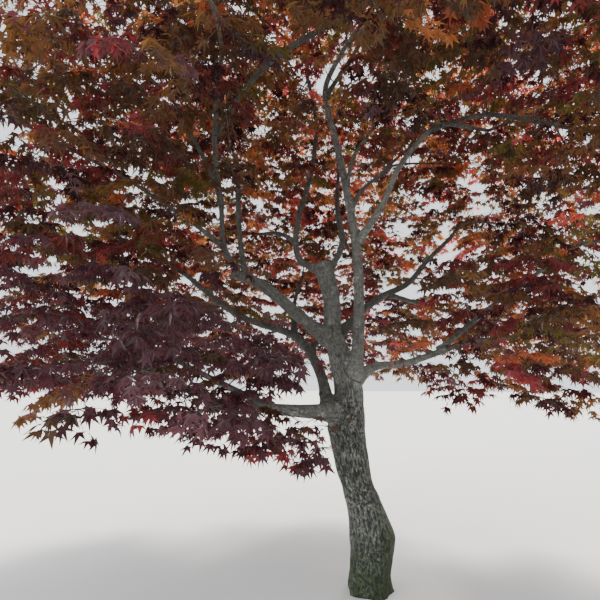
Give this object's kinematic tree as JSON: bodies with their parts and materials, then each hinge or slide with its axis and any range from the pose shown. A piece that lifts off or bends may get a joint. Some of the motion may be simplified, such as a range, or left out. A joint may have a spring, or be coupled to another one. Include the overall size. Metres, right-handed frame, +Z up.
{
  "type": "japanese maple tree",
  "caption": "Whole Japanese maple: a leaning trunk on a flared foot, long tapering boughs and layered masses of purple-bronze palmate leaves, cut flat at ground level.",
  "frame": {"origin": "middle of the trunk's flat cut at ground level", "axes": "+Z up; -Y towards the viewer of the picture, who stands at the left of the trunk; +X to that viewer's right"},
  "size_m": [5.9581, 5.4442, 5.6934],
  "materials": {
    "bark": "rough grey-brown bark with pale lichen",
    "foliage": "thin purple-bronze leaves with a soft sheen"
  },
  "bodies": {
    "root": {"trunk": "bark", "leader": "bark", "low_left": "bark", "low_left_side": "bark", "back_stem": "bark", "back_low_left": "bark", "back_rise": "bark", "back_low": "bark", "low_right": "bark", "right_side": "bark", "left_bough": "bark", "left_fork_front": "bark", "left_fork_back": "bark", "upper_left_back": "bark", "left_mid": "bark", "front_left": "bark", "front": "bark", "mid_right": "bark", "mid_right_low": "bark", "upper_right": "bark", "right_front": "bark", "leader_twig": "bark", "upper_right_back": "bark", "leader_front": "bark", "stub_right": "bark", "back_mid": "bark", "stub_left": "bark", "left_back_mid": "bark", "centre_back": "bark", "leader_fork": "bark", "top_right": "bark", "foliage_low_left_front": "foliage", "foliage_low_left": "foliage", "foliage_left": "foliage", "foliage_low_left_back": "foliage", "foliage_back_rise": "foliage", "foliage_low_back": "foliage", "foliage_low_right": "foliage", "foliage_right": "foliage", "foliage_left_front": "foliage", "foliage_centre_left": "foliage", "foliage_upper_left": "foliage", "foliage_upper_left_back": "foliage", "foliage_front_left": "foliage", "foliage_front": "foliage", "foliage_right_back": "foliage", "foliage_low_right_back": "foliage", "foliage_upper_right": "foliage", "foliage_right_front": "foliage", "foliage_centre_right": "foliage", "foliage_upper_right_back": "foliage", "foliage_leader_front": "foliage", "foliage_upper_back": "foliage", "foliage_back": "foliage", "foliage_left_back": "foliage", "foliage_centre": "foliage", "foliage_top_left": "foliage", "foliage_upper_front": "foliage", "foliage_top_right": "foliage", "foliage_top": "foliage"}
  },
  "joints": []
}
